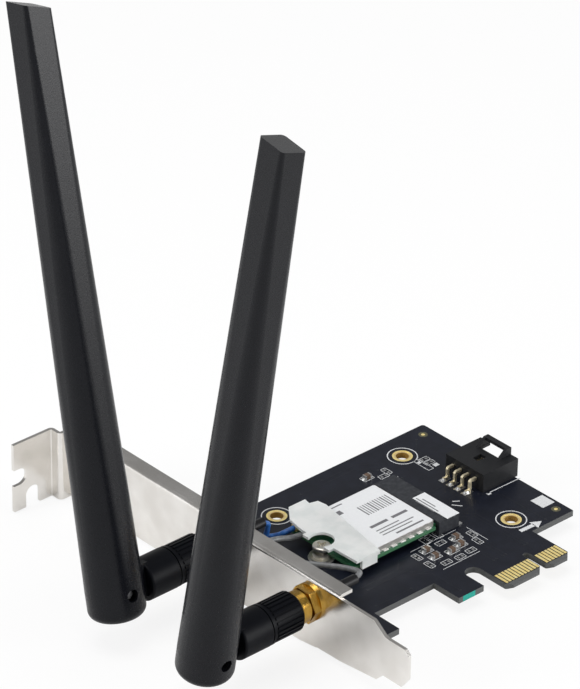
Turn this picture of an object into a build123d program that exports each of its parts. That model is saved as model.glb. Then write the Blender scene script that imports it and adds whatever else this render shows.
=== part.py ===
from build123d import *
import os
from math import cos, radians, sin, tan

# A wireless network card for a PCI Express x1 slot, with two swivelling rod antennas.
# The frame is the card's own: the origin lies on the component face, on the centre line of the
# edge connector's key and at the front edge of the tongue. +X runs from the bracket to the rear
# edge, +Y from the tongue up the card, +Z out of the component face. Sizes are in millimetres.

# Carrier board: distances from the key centre line, heights above the tongue's front edge
board_thickness = 1.57
board_front = 57.15
board_rear = 21.8
board_top = 64.41
board_edge = 12.2
rear_edge = 13.1
tongue_front = 12.15
tongue_rear = 8.15
tongue_chamfer = 1.4
key_width = 1.9
key_depth = 7.6
bevel_depth = 0.4
bevel_length = 1.1
slot_width = 4.35
slot_depth = 11.6
hook_width = 7.9
hook_edge = 3.95
foot_length = 13.95
board_corner = 0.8

# Edge contacts
contact_pitch = 1.0
contact_width = 0.7
contact_length = 4.0
contact_thickness = 0.05
contact_margin = 0.15
key_to_contact = 1.5
front_contacts = 11
rear_contacts = 7

# Plated mounting holes
hole_diameter = 3.2
plating_inset = 0.4
plating_ring = 5.0
plating_thickness = 0.05
hole_rear_x = 8.0
hole_front_x = -32.6
hole_top_y = 57.1
hole_low_y = 19.9

# Folded bracket
sheet = 0.86
board_gap = 1.04
bracket_width = 18.42
bracket_drop = 4.2
bracket_length = 120.02
bracket_tip = 15.42
tip_width = 10.3
tip_length = 6.3
tip_rise = 4.5
tip_chamfer = 2.0
taper_length = 4.9
lower_rise = 0.8
low_edge_rise = 1.1
low_step = 0.2
low_step_y = 14.4
low_taper_y = 20.0
jog_depth = 3.42
jog_drop = 3.1
tab_depth = 11.43
bend = 0.3
flange_depth = 4.0
flange_low = 7.2
flange_top_gap = 4.0
notch_width = 4.42
notch_depth = 3.8
relief_width = 4.2
relief_depth = 5.3
relief_inset = 5.6
ear_width = 8.0
ear_length = 10.5
ear_slit = 0.3
ear_low_y = 28.0
ear_top_inset = 4.9
ear_hole_inset = 6.0

# Bracket screws
screw_diameter = 2.9
screw_head = 5.4
screw_head_height = 1.7
screw_clearance = 0.15
screw_reach = 1.2

# Antenna jacks on the bracket, with their nuts and sleeves
jack_inset = 6.22
jack_low_y = 16.6
jack_pitch = 31.4
jack_thread = 6.3
jack_reach = 8.55
jack_mouth = 4.75
jack_mouth_depth = 1.8
jack_hole_clearance = 0.1
jack_hex = 8.0
jack_hex_height = 2.0
jack_washer = 9.0
jack_washer_height = 0.6
jack_rear = 4.7
jack_rear_length = 5.0
jack_insulator = 4.1
jack_pin = 1.27
jack_pin_setback = 0.4
sleeve_diameter = 5.6
sleeve_tail = 2.4
sleeve_cone = 1.6
sleeve_tail_length = 6.0
fit = 0.02
running = 0.05

# Antennas: coupling nut, plug, elbow and mast
nut_gap = 2.95
nut_diameter = 9.8
nut_length = 9.5
nut_chamfer = 0.6
nut_collar = 10.0
nut_collar_length = 0.8
nut_groove = 0.5
nut_groove_depth = 0.25
nut_flutes = 26
flute_width = 0.55
flute_depth = 0.3
nut_shoulder = 1.7
end_play = 0.05
insert_diameter = 8.0
insert_reach = 2.5
plug_neck = 6.0
plug_flange = 7.6
plug_flange_height = 1.0
plug_barrel = 4.6
plug_barrel_length = 4.95
plug_bore = 3.3
plug_contact = 2.2
plug_stem = 5.5
elbow_diameter = 10.1
elbow_gap = 0.15
elbow_length = 8.45
elbow_edge = 0.6
knuckle_width = 5.0
knuckle_radius = 4.1
knuckle_clearance = 0.3
fork_clearance = 0.12
pin_diameter = 2.0
pin_rise = 0.9
pin_recess = 3.0
pin_recess_depth = 1.8
pin_setback = 1.5
mast_foot = 13.5
mast_sole = 6.4
mast_turn = 7.0
mast_rim = 2.2
mast_tip = 7.2
mast_tip_radius = 0.9
mast_high = 139.4
mast_low = 136.8
shoulder_gap = 0.55
radiator_diameter = 4.8
radiator_wall = 0.35
radiator_sleeve = 62.0
radiator_wire = 1.2
radiator_length = 118.0
left_lean = 12.0
right_lean = -9.9
left_pitch = 0.55
right_pitch = -0.5

# Socketed wireless module
module_width = 22.0
module_length = 30.0
module_tongue_width = 19.85
module_tongue = 4.0
module_thickness = 0.8
module_lift = 1.8
module_centre_y = 37.2
module_end_x = -36.6
module_screw_notch = 1.8
socket_length = 22.4
socket_width = 6.4
socket_height = 3.5
socket_grip = 3.0
socket_clearance = 0.05
can_width = 20.6
can_start = 5.6
can_length = 20.6
can_height = 1.5
can_wall = 0.2
label_width = 20.3
label_length = 20.2
label_thickness = 0.1
sticker_length = 11.8
sticker_width = 3.9
standoff_flange = 5.9
standoff_flange_height = 0.6
standoff_body = 4.2
module_screw = 1.9
module_screw_head = 4.4
module_screw_head_height = 0.9
module_screw_length = 2.4

# Cable clip over the module's end
clip_thickness = 0.7
clip_front = 0.7
clip_rear = 10.9
clip_slant = 3.8
clip_top_reach = 4.3
clip_leg = 0.8
clip_leg_gap = 0.35
clip_leg_length = 4.7
clip_leg_foot = 1.9
clip_lip = 1.2
clip_lip_width = 9.0
clip_screw_room = 3.0
clip_mouth = 5.2

# Coaxial leads
coax_diameter = 1.32
plug_cap = 2.6
plug_cap_height = 1.4
plug_arm = 1.9
plug_arm_width = 1.5
plug_x = -33.4
grey_plug_y = 43.6
blue_plug_y = 46.8

# Four-way header
header_width = 12.8
header_length = 11.5
header_height = 4.9
header_overhang = 0.8
header_centre_y = 39.0
header_wall = 0.75
header_floor = 1.0
header_back = 2.4
latch_slot_length = 2.7
latch_slot_width = 1.9
latch_slot_x = 15.9
latch_cut_length = 3.4
latch_cut_width = 6.2
bridge_length = 1.5
bridge_width = 8.0
bridge_rise = 2.0
bridge_bar = 0.8
bridge_foot = 2.4
pin_pitch = 2.54
pin_count = 4
pin_size = 0.64
pin_height = 2.9
pin_reach = 7.5
pin_drop = 1.9
pin_foot = 1.4
pin_clearance = 0.01

# Chip capacitors: body, end caps and places on the board
capacitor_length = 2.0
capacitor_width = 1.25
capacitor_height = 1.0
capacitor_cap = 0.4
capacitor_places = [(-5.2, 55.4), (-16.4, 23.2), (-16.6, 20.0), (-12.0, 19.2), (-7.4, 22.7), (-8.6, 19.8)]

os.makedirs("parts", exist_ok=True)


def write(builder, name):
    builder.part.label = name
    export_step(builder.part, f"parts/{name}.step")


# Places that several pieces share
face_x = -(board_front + board_gap + sheet)
inner_face_x = face_x + sheet
bracket_top = bracket_width - bracket_drop
jack_height = bracket_top - jack_inset
tab_y = bracket_length - bracket_tip
jack_places = [(jack_low_y, jack_height), (jack_low_y + jack_pitch, jack_height)]
holes = [(hole_rear_x, hole_top_y), (hole_front_x, hole_top_y), (hole_rear_x, hole_low_y)]
ear_screw_x = inner_face_x + ear_hole_inset
ear_top_y = board_top - ear_top_inset
ear_screws = [(ear_screw_x, ear_low_y), (ear_screw_x, ear_top_y)]
low_left = (Align.MIN, Align.MIN)

# Carrier board: routed laminate with tongue, key, hook and foot
slot_left = -tongue_front - slot_width
hook_left = slot_left - hook_width
with BuildPart() as carrier_board:
    with BuildSketch(Plane.XY.offset(-board_thickness)):
        with Locations((-board_front, board_edge)):
            Rectangle(board_front + board_rear, board_top - board_edge, align=low_left)
        with Locations((-tongue_front, 0)):
            Rectangle(tongue_front + tongue_rear, rear_edge, align=low_left)
        with Locations((hook_left, hook_edge)):
            Rectangle(-tongue_front - hook_left, rear_edge - hook_edge, align=low_left)
        with Locations((-board_front, hook_edge)):
            Rectangle(foot_length, rear_edge - hook_edge, align=low_left)
        with Locations((tongue_rear, board_edge)):
            Rectangle(board_rear - tongue_rear, rear_edge - board_edge, align=low_left, mode=Mode.SUBTRACT)
        with Locations((slot_left, 0)):
            Rectangle(slot_width, slot_depth - slot_width / 2, align=low_left, mode=Mode.SUBTRACT)
        with Locations((slot_left + slot_width / 2, slot_depth - slot_width / 2)):
            Circle(slot_width / 2, mode=Mode.SUBTRACT)
        with Locations((-key_width / 2, 0)):
            Rectangle(key_width, key_depth - key_width / 2, align=low_left, mode=Mode.SUBTRACT)
        with Locations((0, key_depth - key_width / 2)):
            Circle(key_width / 2, mode=Mode.SUBTRACT)
        with Locations(*holes):
            Circle(hole_diameter / 2, mode=Mode.SUBTRACT)
        with Locations(*ear_screws):
            Circle(screw_diameter / 2 + screw_clearance, mode=Mode.SUBTRACT)
    extrude(amount=board_thickness)
    tongue_corners = carrier_board.edges().filter_by(Axis.Z).group_by(Axis.Y)[0]
    chamfer(tongue_corners, length=tongue_chamfer)
    far_corners = carrier_board.edges().filter_by(Axis.Z).group_by(Axis.Y)[-1]
    fillet(far_corners, radius=board_corner)
    with BuildSketch(Plane.YZ.offset(-tongue_front)):
        with BuildLine():
            Polyline((0, 0), (bevel_length, 0), (0, -bevel_depth), close=True)
        make_face()
        mirror(about=Plane.XZ.offset(board_thickness / 2), mode=Mode.ADD)
    extrude(amount=tongue_front + tongue_rear, mode=Mode.SUBTRACT)
write(carrier_board, "carrier_board")

# Gold edge contacts on both faces of the tongue
contact_x = [-(key_to_contact + contact_pitch * i) for i in range(front_contacts)]
contact_x += [key_to_contact + contact_pitch * i for i in range(rear_contacts)]
contact_y = bevel_length + contact_margin
with BuildPart() as edge_contacts:
    for level in (0, -board_thickness - contact_thickness):
        with BuildSketch(Plane.XY.offset(level)):
            with Locations(*[(x, contact_y) for x in contact_x]):
                Rectangle(contact_width, contact_length, align=(Align.CENTER, Align.MIN))
        extrude(amount=contact_thickness)
write(edge_contacts, "edge_contacts")

# Plated rings round the three mounting holes
with BuildPart() as hole_platings:
    for level in (0, -board_thickness - plating_thickness):
        with BuildSketch(Plane.XY.offset(level)):
            with Locations(*holes):
                Circle(plating_ring / 2)
                Circle(hole_diameter / 2 + plating_inset, mode=Mode.SUBTRACT)
        extrude(amount=plating_thickness)
write(hole_platings, "hole_platings")

# Folded bracket: face plate, side flange, jog with tab, and two ears under the board
mid_x = face_x + sheet / 2
bend_mid = bend + sheet / 2
tab_mid_y = tab_y - sheet / 2
jog_mid_y = tab_mid_y - jog_drop
flange_top = jog_mid_y - flange_top_gap
bend_room = bend_mid + sheet / 2
ear_mid_z = -board_thickness - sheet / 2
slit = ear_width / 2 + ear_slit
slit_z = ear_mid_z + bend_room
tip_low = -bracket_drop + tip_rise
tip_high = tip_low + tip_width
plate_low = -bracket_drop
step_low = -bracket_drop + low_edge_rise
plate_high = bracket_top - bend_room
neck_high = bracket_top - lower_rise
outline = [
    (flange_top, plate_low),
    (ear_top_y + slit, plate_low), (ear_top_y + slit, slit_z),
    (ear_top_y - slit, slit_z), (ear_top_y - slit, plate_low),
    (ear_low_y + slit, plate_low), (ear_low_y + slit, slit_z),
    (ear_low_y - slit, slit_z), (ear_low_y - slit, plate_low),
    (low_taper_y, plate_low), (low_step_y, step_low - 2 * low_step),
    (low_step_y - low_step, step_low - low_step), (flange_low - 0.8, step_low),
    (-5.4, tip_low - 2.1), (-7.5, tip_low),
    (-bracket_tip + tip_chamfer, tip_low), (-bracket_tip, tip_low + 1.4 * tip_chamfer),
    (-bracket_tip, tip_high - 1.2), (-bracket_tip + 1.2, tip_high),
    (-bracket_tip + tip_length, tip_high), (-bracket_tip + tip_length + 1.3, tip_high + 0.2),
    (-bracket_tip + tip_length + taper_length, neck_high),
    (flange_low, neck_high), (flange_low, plate_high), (flange_top, plate_high),
]
with BuildPart() as io_bracket:
    with BuildSketch(Plane.YZ.offset(face_x)):
        with BuildLine():
            Polyline(*outline, close=True)
        make_face()
    extrude(amount=sheet)
    with BuildSketch(Plane.XY.offset(-bracket_drop)):
        with BuildLine():
            FilletPolyline(
                (mid_x, flange_top), (mid_x, jog_mid_y), (mid_x - jog_depth, jog_mid_y),
                (mid_x - jog_depth, tab_mid_y), (mid_x - jog_depth - tab_depth - sheet / 2, tab_mid_y),
                radius=bend_mid,
            )
        trace(line_width=sheet)
    extrude(amount=bracket_width)
    with BuildSketch(Plane.XZ.offset(-flange_low)):
        with BuildLine():
            FilletPolyline(
                (mid_x, plate_high - sheet), (mid_x, bracket_top - sheet / 2),
                (face_x + flange_depth, bracket_top - sheet / 2),
                radius=bend_mid,
            )
        trace(line_width=sheet)
    extrude(amount=flange_low - flange_top)
    for ear_y in (ear_low_y, ear_top_y):
        with BuildSketch(Plane.XZ.offset(-ear_y)):
            with BuildLine():
                FilletPolyline(
                    (mid_x, slit_z + sheet), (mid_x, ear_mid_z), (inner_face_x + ear_length, ear_mid_z),
                    radius=bend_mid,
                )
            trace(line_width=sheet)
        extrude(amount=ear_width / 2, both=True)
    with BuildSketch(Plane.XY.offset(-board_thickness - sheet)):
        with Locations(*ear_screws):
            Circle(screw_diameter / 2 + fit)
    extrude(amount=sheet, mode=Mode.SUBTRACT)
    with BuildSketch(Plane.YZ.offset(face_x)):
        with Locations(*jack_places):
            Circle(jack_thread / 2 + jack_hole_clearance)
    extrude(amount=sheet, mode=Mode.SUBTRACT)
    tab_end_x = mid_x - jog_depth - tab_depth - sheet / 2
    mid_z = bracket_top - bracket_width / 2
    with BuildSketch(Plane.XZ.offset(-tab_y)):
        with Locations((tab_end_x, mid_z)):
            Rectangle(notch_depth - notch_width / 2, notch_width, align=(Align.MIN, Align.CENTER))
        with Locations((tab_end_x + notch_depth - notch_width / 2, mid_z)):
            Circle(notch_width / 2)
        with Locations((tab_end_x + relief_inset, -bracket_drop)):
            Rectangle(relief_width, relief_depth - relief_width / 2, align=(Align.CENTER, Align.MIN))
        with Locations((tab_end_x + relief_inset, -bracket_drop + relief_depth - relief_width / 2)):
            Circle(relief_width / 2)
    extrude(amount=sheet, mode=Mode.SUBTRACT)
write(io_bracket, "io_bracket")

# Pan-head screws through the board into the tapped ears
with BuildPart() as bracket_screws:
    with BuildSketch(Plane.XY.offset(-board_thickness - sheet - screw_reach)):
        with Locations(*ear_screws):
            Circle(screw_diameter / 2)
    extrude(amount=screw_reach + sheet + board_thickness)
    with BuildSketch(Plane.XY):
        with Locations(*ear_screws):
            Circle(screw_head / 2)
    extrude(amount=screw_head_height)
    chamfer(bracket_screws.edges().group_by(Axis.Z)[-1], length=0.35 * screw_head_height)
    with BuildSketch(Plane.XY.offset(screw_head_height)):
        with Locations(*ear_screws):
            Rectangle(0.55 * screw_head, 0.14 * screw_head)
            Rectangle(0.14 * screw_head, 0.55 * screw_head)
    extrude(amount=-0.45 * screw_head_height, mode=Mode.SUBTRACT)
write(bracket_screws, "bracket_screws")

# Antenna jacks: threaded barrel, hexagon behind the bracket and ferrule
mouth_x = face_x - jack_reach
ferrule_x = inner_face_x + jack_hex_height
ferrule_end_x = ferrule_x + jack_rear_length
with BuildPart() as jack_bodies:
    with BuildSketch(Plane.YZ.offset(mouth_x)):
        with Locations(*jack_places):
            Circle(jack_thread / 2)
    extrude(amount=inner_face_x - mouth_x)
    chamfer(jack_bodies.edges().group_by(Axis.X)[0], length=0.3)
    with BuildSketch(Plane.YZ.offset(inner_face_x)):
        with Locations(*jack_places):
            RegularPolygon(jack_hex / 2, 6, major_radius=False)
    extrude(amount=jack_hex_height)
    with BuildSketch(Plane.YZ.offset(ferrule_x)):
        with Locations(*jack_places):
            Circle(jack_rear / 2)
    extrude(amount=jack_rear_length)
    with BuildSketch(Plane.YZ.offset(mouth_x)):
        with Locations(*jack_places):
            Circle(jack_mouth / 2)
    extrude(amount=jack_mouth_depth, mode=Mode.SUBTRACT)
    with BuildSketch(Plane.YZ.offset(mouth_x)):
        with Locations(*jack_places):
            Circle(jack_insulator / 2)
    extrude(amount=ferrule_end_x - mouth_x, mode=Mode.SUBTRACT)
write(jack_bodies, "jack_bodies")

# White insulators in the jacks
with BuildPart() as jack_insulators:
    with BuildSketch(Plane.YZ.offset(mouth_x + jack_mouth_depth)):
        with Locations(*jack_places):
            Circle(jack_insulator / 2 - fit)
            Circle(jack_pin / 2 + fit, mode=Mode.SUBTRACT)
    extrude(amount=ferrule_end_x - mouth_x - jack_mouth_depth)
write(jack_insulators, "jack_insulators")

# Gold centre pins of the jacks
with BuildPart() as jack_pins:
    with BuildSketch(Plane.YZ.offset(mouth_x + jack_pin_setback)):
        with Locations(*jack_places):
            Circle(jack_pin / 2)
    extrude(amount=ferrule_end_x - mouth_x - jack_pin_setback)
write(jack_pins, "jack_pins")

# Washers and hexagon nuts that hold the jacks on the bracket
with BuildPart() as jack_washers:
    with BuildSketch(Plane.YZ.offset(face_x - jack_washer_height)):
        with Locations(*jack_places):
            Circle(jack_washer / 2)
            Circle(jack_thread / 2 + fit, mode=Mode.SUBTRACT)
    extrude(amount=jack_washer_height)
write(jack_washers, "jack_washers")

jack_nut_x = face_x - jack_washer_height - jack_hex_height
with BuildPart() as jack_nuts:
    with BuildSketch(Plane.YZ.offset(jack_nut_x)):
        with Locations(*jack_places):
            RegularPolygon(jack_hex / 2, 6, major_radius=False)
            Circle(jack_thread / 2 + fit, mode=Mode.SUBTRACT)
    extrude(amount=jack_hex_height)
write(jack_nuts, "jack_nuts")

# Shrunk sleeves over the ferrules, narrowing to tails round the coaxial leads
sleeve_end_x = ferrule_end_x + sleeve_tail_length
with BuildPart() as jack_sleeves:
    with BuildSketch(Plane.YZ.offset(ferrule_x)):
        with Locations(*jack_places):
            Circle(sleeve_diameter / 2)
    extrude(amount=jack_rear_length)
    for place in jack_places:
        with BuildSketch(Plane.YZ.offset(ferrule_end_x)):
            with Locations(place):
                Circle(sleeve_diameter / 2)
        with BuildSketch(Plane.YZ.offset(ferrule_end_x + sleeve_cone)):
            with Locations(place):
                Circle(sleeve_tail / 2)
        loft()
    with BuildSketch(Plane.YZ.offset(ferrule_end_x + sleeve_cone)):
        with Locations(*jack_places):
            Circle(sleeve_tail / 2)
    extrude(amount=sleeve_tail_length - sleeve_cone)
    with BuildSketch(Plane.YZ.offset(ferrule_x)):
        with Locations(*jack_places):
            Circle(jack_rear / 2 + fit)
    extrude(amount=jack_rear_length, mode=Mode.SUBTRACT)
    with BuildSketch(Plane.YZ.offset(ferrule_end_x)):
        with Locations(*jack_places):
            Circle(coax_diameter / 2 + fit)
    extrude(amount=sleeve_tail_length, mode=Mode.SUBTRACT)
write(jack_sleeves, "jack_sleeves")

# Antennas: both are made alike; only the jack and the lean and pitch of the mast differ
nut_inner_x = jack_nut_x - nut_gap
nut_outer_x = nut_inner_x - nut_length
elbow_end_x = nut_outer_x - elbow_gap
shoulder_x = elbow_end_x - elbow_length
pin_x = shoulder_x - mast_foot / 2 - shoulder_gap
flange_x = nut_outer_x + nut_shoulder + end_play
insert_x = flange_x + plug_flange_height + end_play
barrel_end_x = flange_x + plug_flange_height + plug_barrel_length
stem_x = elbow_end_x - plug_stem


def antenna(side, jack_y, lean, pitch):
    up = (0, sin(radians(lean)), cos(radians(lean)))
    hinge = (0, cos(radians(lean)), -sin(radians(lean)))
    centre = (pin_x, jack_y + pin_rise * up[1], jack_height + pin_rise * up[2])
    flat = Plane(origin=centre, x_dir=(1, 0, 0), z_dir=(0, -hinge[1], -hinge[2]))
    swung_x = (cos(radians(pitch)), -sin(radians(pitch)) * up[1], -sin(radians(pitch)) * up[2])
    swung = Plane(origin=centre, x_dir=swung_x, z_dir=flat.z_dir)
    stand = Plane(origin=centre, x_dir=swung_x, z_dir=swung.y_dir)

    def across(x):
        return Plane(origin=(x, jack_y, jack_height), x_dir=hinge, z_dir=(1, 0, 0))

    # Moulded coupling nut: collar, grip flutes, a shoulder at its outer end and room for the insert
    flute_x = nut_outer_x + nut_collar_length + nut_groove
    with BuildPart() as coupling_nut:
        with BuildSketch(across(nut_outer_x)):
            Circle(nut_diameter / 2)
        extrude(amount=nut_length)
        chamfer(coupling_nut.edges().group_by(Axis.X)[-1], length=nut_chamfer)
        with BuildSketch(across(nut_outer_x)):
            Circle(nut_collar / 2)
        extrude(amount=nut_collar_length)
        with BuildSketch(across(nut_outer_x + nut_collar_length)):
            Circle(nut_diameter / 2)
            Circle(nut_diameter / 2 - nut_groove_depth, mode=Mode.SUBTRACT)
        extrude(amount=nut_groove, mode=Mode.SUBTRACT)
        with BuildSketch(across(nut_outer_x)):
            Circle(plug_neck / 2 + running)
        extrude(amount=nut_length, mode=Mode.SUBTRACT)
        with BuildSketch(across(nut_outer_x + nut_shoulder)):
            Circle(insert_diameter / 2 + fit)
        extrude(amount=nut_length - nut_shoulder, mode=Mode.SUBTRACT)
        with BuildSketch(across(flute_x)):
            with PolarLocations(nut_diameter / 2, nut_flutes):
                Rectangle(2 * flute_depth, flute_width)
        extrude(amount=nut_inner_x - flute_x, mode=Mode.SUBTRACT)
    write(coupling_nut, f"{side}_coupling_nut")

    # Gilt insert that takes the jack's thread and stands out of the nut's inner end
    with BuildPart() as nut_insert:
        with BuildSketch(across(insert_x)):
            Circle(insert_diameter / 2)
            Circle(jack_thread / 2 + running, mode=Mode.SUBTRACT)
        extrude(amount=nut_inner_x + insert_reach - insert_x)
    write(nut_insert, f"{side}_nut_insert")

    # Turned plug core: stem in the elbow, flange behind the nut's shoulder, barrel in the jack
    with BuildPart() as plug_core:
        with BuildSketch(across(stem_x)):
            Circle(plug_neck / 2)
        extrude(amount=flange_x - stem_x)
        with BuildSketch(across(flange_x)):
            Circle(plug_flange / 2)
        extrude(amount=plug_flange_height)
        with BuildSketch(across(flange_x + plug_flange_height)):
            Circle(plug_barrel / 2)
        extrude(amount=plug_barrel_length)
        with BuildSketch(across(stem_x)):
            Circle(plug_bore / 2)
        extrude(amount=barrel_end_x - stem_x, mode=Mode.SUBTRACT)
    write(plug_core, f"{side}_plug_core")

    # White insulator and socket contact inside the plug core
    with BuildPart() as plug_insulator:
        with BuildSketch(across(stem_x)):
            Circle(plug_bore / 2 - fit)
            Circle(plug_contact / 2 + fit, mode=Mode.SUBTRACT)
        extrude(amount=barrel_end_x - stem_x)
    write(plug_insulator, f"{side}_plug_insulator")

    with BuildPart() as contact:
        with BuildSketch(across(stem_x)):
            Circle(plug_contact / 2)
        extrude(amount=barrel_end_x - stem_x)
        with BuildSketch(across(mouth_x - jack_pin_setback)):
            Circle(jack_pin / 2 + running)
        extrude(amount=barrel_end_x - mouth_x + jack_pin_setback, mode=Mode.SUBTRACT)
    write(contact, f"{side}_plug_contact")

    # Moulded elbow: round body on the plug, flat knuckle in the mast's fork
    with BuildPart() as elbow:
        with BuildSketch(across(shoulder_x)):
            Circle(elbow_diameter / 2)
        extrude(amount=elbow_length)
        fillet(elbow.edges().group_by(Axis.X)[0], radius=elbow_edge)
        chamfer(elbow.edges().group_by(Axis.X)[-1], length=elbow_edge / 3)
        with BuildSketch(flat):
            Circle(knuckle_radius)
            Rectangle(shoulder_x - pin_x + 2 * elbow_edge, 2 * knuckle_radius, align=(Align.MIN, Align.CENTER))
        extrude(amount=knuckle_width / 2, both=True)
        with BuildSketch(flat):
            Circle(pin_diameter / 2 + running)
        extrude(amount=knuckle_width, both=True, mode=Mode.SUBTRACT)
        with BuildSketch(across(stem_x)):
            Circle(plug_neck / 2 + fit)
        extrude(amount=plug_stem, mode=Mode.SUBTRACT)
    write(elbow, f"{side}_elbow")

    # Moulded mast: round foot with a fork and a rounded sole, square tip with a slanted end, and a
    # bore for the radiator; the sole's inner half follows an arc about the pin to pass the elbow
    half = mast_foot / 2
    pocket = knuckle_radius + knuckle_clearance
    radiator_start = pocket + 0.6
    high = mast_high + 0.45 * (mast_high - mast_low)
    low = mast_low - 0.45 * (mast_high - mast_low)
    arc_side = -(mast_turn ** 2 - half ** 2) ** 0.5
    arc_foot = (mast_turn ** 2 - mast_sole ** 2) ** 0.5
    with BuildPart() as mast:
        with BuildSketch(stand):
            RectangleRounded(mast_foot, mast_foot, half - 0.05)
        with BuildSketch(stand.offset(mast_high)):
            RectangleRounded(mast_tip, mast_tip, mast_tip_radius)
        loft(ruled=True)
        with BuildSketch(stand.offset(-mast_sole)):
            Circle(half)
        extrude(amount=mast_sole)
        fillet(mast.faces().sort_by(Axis(centre, up))[0].edges(), radius=mast_rim)
        with BuildSketch(swung):
            with BuildLine():
                Polyline((arc_foot, -mast_sole), (-half, -mast_sole), (-half, high), (half, low), (half, arc_side))
                RadiusArc((half, arc_side), (arc_foot, -mast_sole), mast_turn)
            make_face()
        extrude(amount=mast_foot, both=True, mode=Mode.INTERSECT)
        with BuildSketch(swung):
            Circle(pocket)
            Rectangle(mast_foot, 2 * pocket, align=(Align.MIN, Align.CENTER))
            Rectangle(2 * pocket, mast_foot, align=(Align.CENTER, Align.MAX))
            Rectangle(mast_foot, mast_foot, align=(Align.MIN, Align.MAX))
        extrude(amount=knuckle_width / 2 + fork_clearance, both=True, mode=Mode.SUBTRACT)
        with BuildSketch(swung):
            Circle(pin_diameter / 2 + fit)
        extrude(amount=mast_foot, both=True, mode=Mode.SUBTRACT)
        for way in (1, -1):
            with BuildSketch(swung.offset(way * (half - pin_recess_depth))):
                Circle(pin_recess / 2)
            extrude(amount=way * mast_foot, mode=Mode.SUBTRACT)
        with BuildSketch(stand):
            Circle(radiator_diameter / 2 + fit)
        extrude(amount=radiator_start + radiator_length + 1.0, mode=Mode.SUBTRACT)
    write(mast, f"{side}_mast")

    # Radiator: copper sleeve with a wire above it
    with BuildPart() as radiator:
        with BuildSketch(stand.offset(radiator_start)):
            Circle(radiator_diameter / 2)
        extrude(amount=radiator_sleeve)
        with BuildSketch(stand.offset(radiator_start)):
            Circle(radiator_diameter / 2 - radiator_wall)
        extrude(amount=radiator_sleeve - radiator_wall, mode=Mode.SUBTRACT)
        with BuildSketch(stand.offset(radiator_start + radiator_sleeve)):
            Circle(radiator_wire / 2)
        extrude(amount=radiator_length - radiator_sleeve)
    write(radiator, f"{side}_radiator")

    # Steel hinge pin through fork and knuckle
    with BuildPart() as hinge_pin:
        with BuildSketch(flat):
            Circle(pin_diameter / 2)
        extrude(amount=half - pin_setback, both=True)
    write(hinge_pin, f"{side}_hinge_pin")


antenna("left", jack_low_y + jack_pitch, left_lean, left_pitch)
antenna("right", jack_low_y, right_lean, right_pitch)

# Wireless module: green board, its socket, screen can, labels, stand-off and screw
module_top = module_lift + module_thickness
module_tip_x = module_end_x + module_length
socket_x = module_tip_x - socket_grip
body_length = module_length - module_tongue
with BuildPart() as module_board:
    with BuildSketch(Plane.XY.offset(module_lift)):
        with Locations((module_end_x, module_centre_y)):
            Rectangle(body_length, module_width, align=(Align.MIN, Align.CENTER))
            Rectangle(module_length, module_tongue_width, align=(Align.MIN, Align.CENTER))
            Circle(module_screw_notch, mode=Mode.SUBTRACT)
    extrude(amount=module_thickness)
write(module_board, "module_board")

with BuildPart() as m2_socket:
    with BuildSketch(Plane.XY):
        with Locations((socket_x, module_centre_y)):
            Rectangle(socket_width, socket_length, align=(Align.MIN, Align.CENTER))
    extrude(amount=socket_height)
    with BuildSketch(Plane.XY.offset(module_lift - socket_clearance)):
        with Locations((socket_x, module_centre_y)):
            Rectangle(
                socket_grip + socket_clearance, module_tongue_width + 2 * socket_clearance,
                align=(Align.MIN, Align.CENTER),
            )
    extrude(amount=module_thickness + 2 * socket_clearance, mode=Mode.SUBTRACT)
write(m2_socket, "m2_socket")

with BuildPart() as socket_label:
    with BuildSketch(Plane.XY.offset(socket_height)):
        with Locations((socket_x + socket_width, module_centre_y - socket_length / 2)):
            Rectangle(sticker_width, sticker_length, align=(Align.MAX, Align.MIN))
    extrude(amount=label_thickness)
write(socket_label, "socket_label")

can_x = module_end_x + can_start
with BuildPart() as shield_can:
    with BuildSketch(Plane.XY.offset(module_top)):
        with Locations((can_x, module_centre_y)):
            Rectangle(can_length, can_width, align=(Align.MIN, Align.CENTER))
    extrude(amount=can_height)
    fillet(shield_can.edges().filter_by(Axis.Z), radius=0.6)
    with BuildSketch(Plane.XY.offset(module_top)):
        with Locations((can_x + can_wall, module_centre_y)):
            Rectangle(can_length - 2 * can_wall, can_width - 2 * can_wall, align=(Align.MIN, Align.CENTER))
    extrude(amount=can_height - can_wall, mode=Mode.SUBTRACT)
write(shield_can, "shield_can")

can_top = module_top + can_height
with BuildPart() as module_label:
    with BuildSketch(Plane.XY.offset(can_top)):
        with Locations((can_x + can_length / 2, module_centre_y)):
            RectangleRounded(label_length, label_width, 0.5)
    extrude(amount=label_thickness)
write(module_label, "module_label")

screw_at = (module_end_x, module_centre_y)
with BuildPart() as m2_standoff:
    with BuildSketch(Plane.XY):
        with Locations(screw_at):
            Circle(standoff_flange / 2)
    extrude(amount=standoff_flange_height)
    with BuildSketch(Plane.XY.offset(standoff_flange_height)):
        with Locations(screw_at):
            Circle(standoff_body / 2)
    extrude(amount=module_lift - standoff_flange_height)
    with BuildSketch(Plane.XY):
        with Locations(screw_at):
            Circle(module_screw / 2 + fit)
    extrude(amount=module_lift, mode=Mode.SUBTRACT)
write(m2_standoff, "m2_standoff")

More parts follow.
